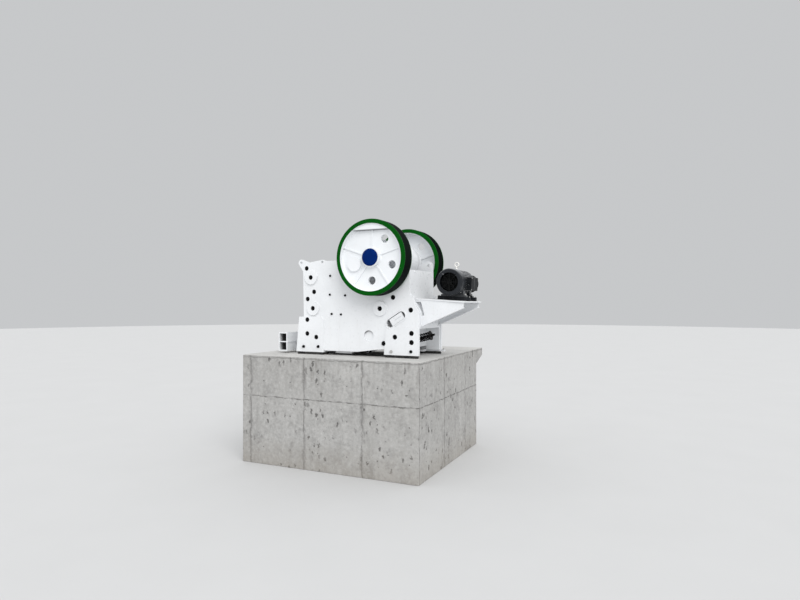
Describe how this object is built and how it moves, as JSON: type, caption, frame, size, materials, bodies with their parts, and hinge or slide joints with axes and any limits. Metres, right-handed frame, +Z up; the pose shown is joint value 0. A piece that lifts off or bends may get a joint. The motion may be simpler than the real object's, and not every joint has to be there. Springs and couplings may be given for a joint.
{
  "type": "jaw crusher",
  "caption": "Stationary jaw crusher for quarry rock, with flywheels on an eccentric shaft and a motor on a rear bracket, standing on its concrete block.",
  "frame": {"origin": "on the ground under the block, straight below the middle of the flywheel shaft", "axes": "+X to the rear where the motor is, +Z up, +Y to the side with the belt grooves"},
  "size_m": [5.1731, 4.45, 5.552],
  "materials": {
    "concrete": "cast concrete, board and panel marks",
    "rubber_pads": "black rubber",
    "manganese_steel": "raw cast manganese steel",
    "bright_steel": "machined steel",
    "spring_steel": "black enamelled spring steel",
    "flywheel_paint": "gloss white with green rim faces and a black rim",
    "blue_paint": "gloss deep blue",
    "black_iron": "black cast iron",
    "motor_paint": "satin charcoal paint",
    "white_paint": "gloss white paint"
  },
  "bodies": {
    "crusher": {"foundation_block": "concrete", "front_foot_pads": "rubber_pads", "rear_foot_pads": "rubber_pads", "near_side_plate": "white_paint", "far_side_plate": "white_paint", "near_front_foot": "white_paint", "far_front_foot": "white_paint", "near_rear_foot": "white_paint", "far_rear_foot": "white_paint", "front_frame": "white_paint", "front_beam": "white_paint", "rear_frame": "white_paint", "rear_cover": "white_paint", "fixed_jaw_plate": "manganese_steel", "fixed_jaw_retainer": "white_paint", "swing_jaw_plate": "manganese_steel", "swing_jaw_wedge": "white_paint", "near_cheek_plate": "manganese_steel", "far_cheek_plate": "manganese_steel", "pitman": "white_paint", "near_bearing_housing": "white_paint", "far_bearing_housing": "white_paint", "toggle_plate": "white_paint", "pitman_toggle_seat": "manganese_steel", "beam_toggle_seat": "manganese_steel", "toggle_beam": "white_paint", "near_adjusting_wedge": "white_paint", "far_adjusting_wedge": "white_paint", "tension_rod": "bright_steel", "tension_spring": "spring_steel", "motor_bracket": "white_paint", "motor_rails": "motor_paint", "motor_frame": "motor_paint", "motor_fan_cowl": "motor_paint", "motor_drive_shield": "motor_paint", "motor_terminal_box": "motor_paint", "motor_shaft": "bright_steel", "motor_sheave": "black_iron", "motor_lifting_eye": "bright_steel"},
    "rotor": {"eccentric_shaft": "bright_steel", "near_flywheel": "flywheel_paint", "far_flywheel": "flywheel_paint", "near_hub_cap": "blue_paint", "far_hub_cap": "blue_paint"}
  },
  "joints": [
    {"name": "shaft_spin", "type": "hinge", "parent": "crusher", "child": "rotor", "pos_m": [0, 0, 4.712], "axis": [0, 1, 0], "continuous": true}
  ]
}
